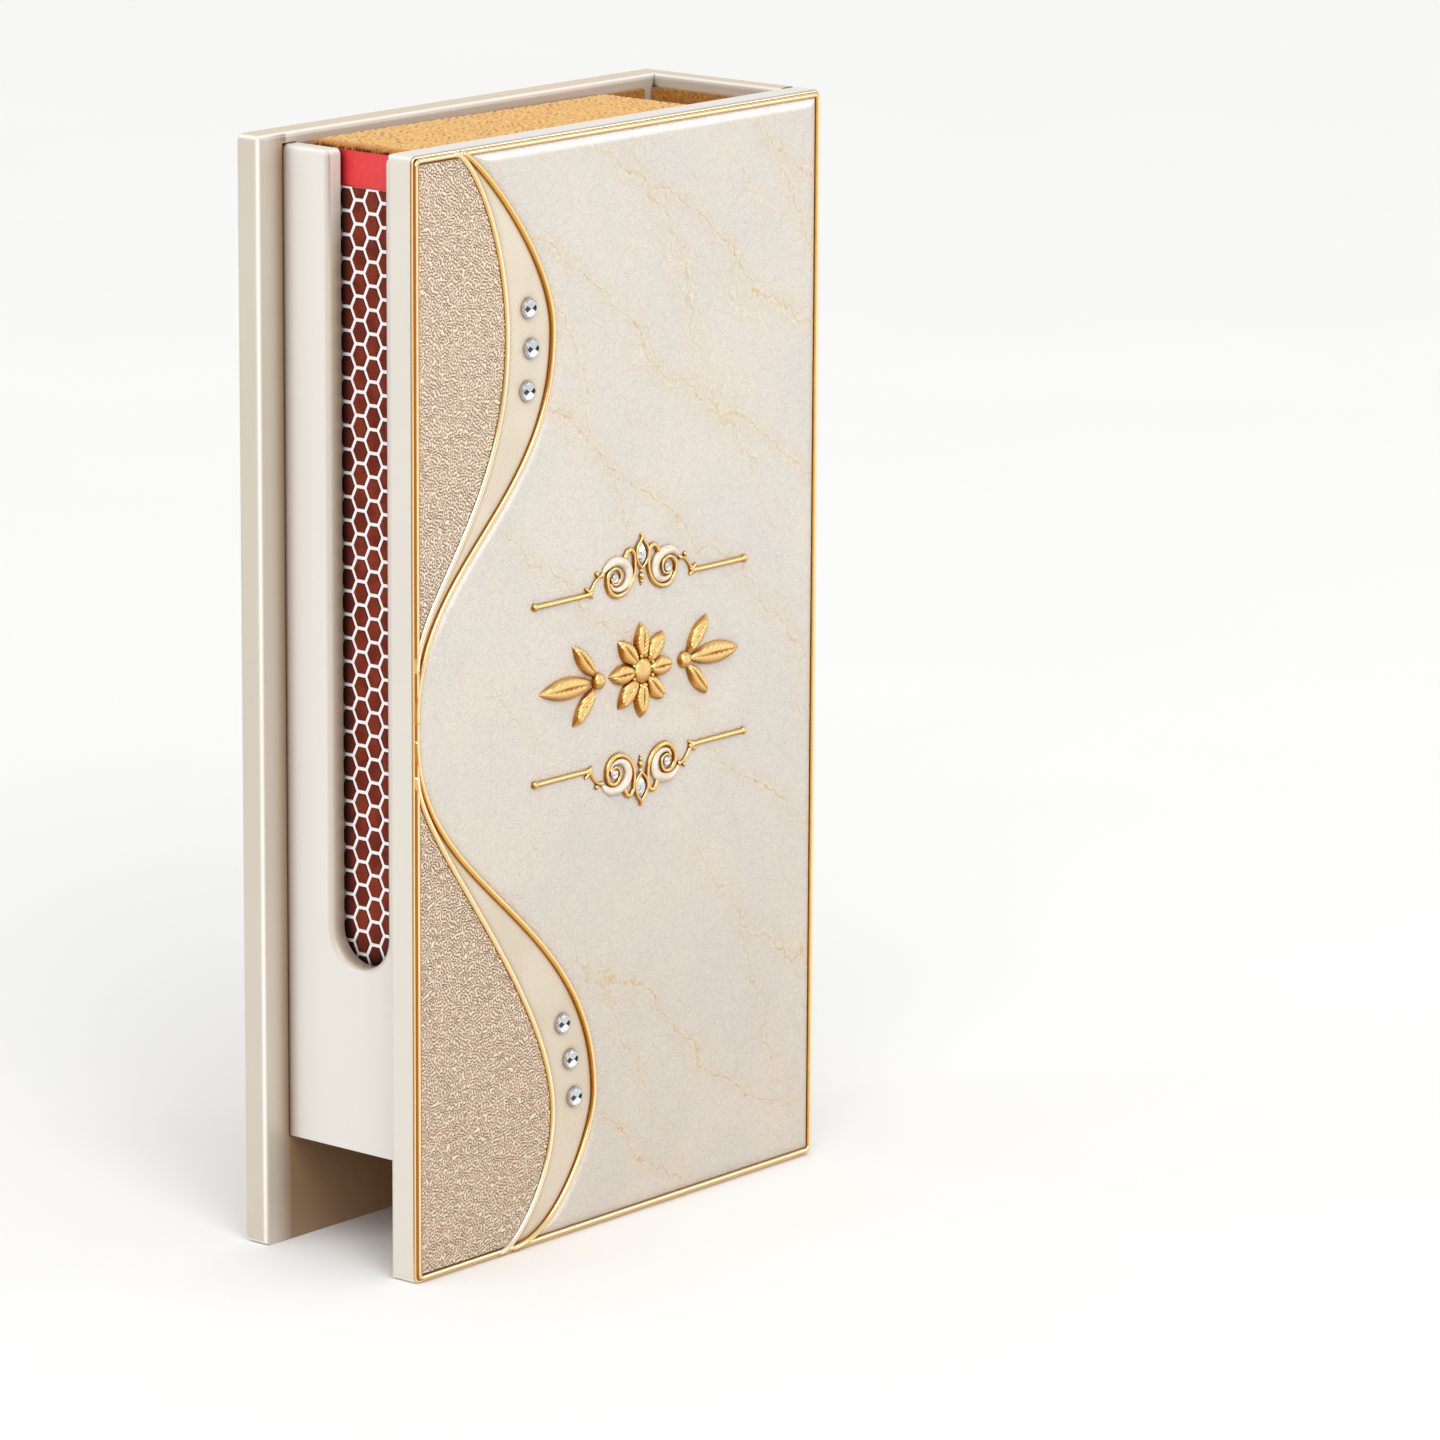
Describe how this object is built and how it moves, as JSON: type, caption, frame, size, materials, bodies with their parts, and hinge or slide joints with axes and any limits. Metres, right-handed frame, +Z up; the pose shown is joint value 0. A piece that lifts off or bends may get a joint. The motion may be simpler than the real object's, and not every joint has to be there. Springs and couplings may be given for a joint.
{
  "type": "matchbox holder",
  "caption": "Upright book-shaped matchbox holder with lacquered boards, gold-piped leather front, crystals and an end slot for striking; the matchbox lifts out and its tray slides.",
  "frame": {"origin": "on the ground, under the middle of the holder's outline", "axes": "+X to the right across the decorated front, +Y from the front to the back, +Z up"},
  "size_m": [0.069, 0.0268, 0.125],
  "materials": {
    "cream_lacquer": "satin cream lacquer over board",
    "gold_brown_lining": "short-napped golden-brown lining",
    "marbled_leather": "smooth cream leather with fine golden veins",
    "textured_leather": "beige leather embossed with short worm-like strokes",
    "cream_leather": "fine-grained plain cream leather",
    "polished_gold": "polished gold plate",
    "satin_gold": "brushed satin gold plate",
    "silver_cup": "polished silver plate",
    "clear_crystal": "cut and foil-backed",
    "pearl_enamel": "pearly cream enamel",
    "red_card": "printed red card",
    "striker_coat": "brown striking compound in a honeycomb of white lines",
    "golden_card": "rough golden embossed card",
    "match_wood": "bare split aspen",
    "match_head": "dull red striking compound"
  },
  "bodies": {
    "holder": {"front_board": "cream_lacquer", "back_board": "cream_lacquer", "spine_board": "cream_lacquer", "slotted_side_wall": "cream_lacquer", "floor_shelf": "cream_lacquer", "front_lining": "gold_brown_lining", "back_lining": "gold_brown_lining", "spine_lining": "gold_brown_lining", "marble_leather_panel": "marbled_leather", "upper_textured_inlay": "textured_leather", "lower_textured_inlay": "textured_leather", "upper_crescent_inlay": "cream_leather", "lower_crescent_inlay": "cream_leather", "border_piping": "polished_gold", "upper_inner_piping": "polished_gold", "upper_outer_piping": "polished_gold", "lower_inner_piping": "polished_gold", "lower_outer_piping": "polished_gold", "crystal_cups": "silver_cup", "round_crystals": "clear_crystal", "upper_scroll_ornament": "polished_gold", "lower_scroll_ornament": "polished_gold", "scroll_pearl_inlays": "pearl_enamel", "volute_crystals": "clear_crystal", "marquise_crystals": "clear_crystal", "centre_rosette": "satin_gold", "centre_leaf_sprays": "satin_gold"},
    "matchbox": {"matchbox_sleeve": "red_card", "left_striker_strip": "striker_coat", "right_striker_strip": "striker_coat"},
    "tray": {"matchbox_tray": "golden_card", "match_sticks": "match_wood", "match_heads": "match_head"}
  },
  "joints": [
    {"name": "matchbox_lift", "type": "slide", "parent": "holder", "child": "matchbox", "axis": [0, 0, 1], "range_m": [0, 0.115]},
    {"name": "tray_slide", "type": "slide", "parent": "matchbox", "child": "tray", "axis": [0, 0, 1], "range_m": [0, 0.09]}
  ]
}
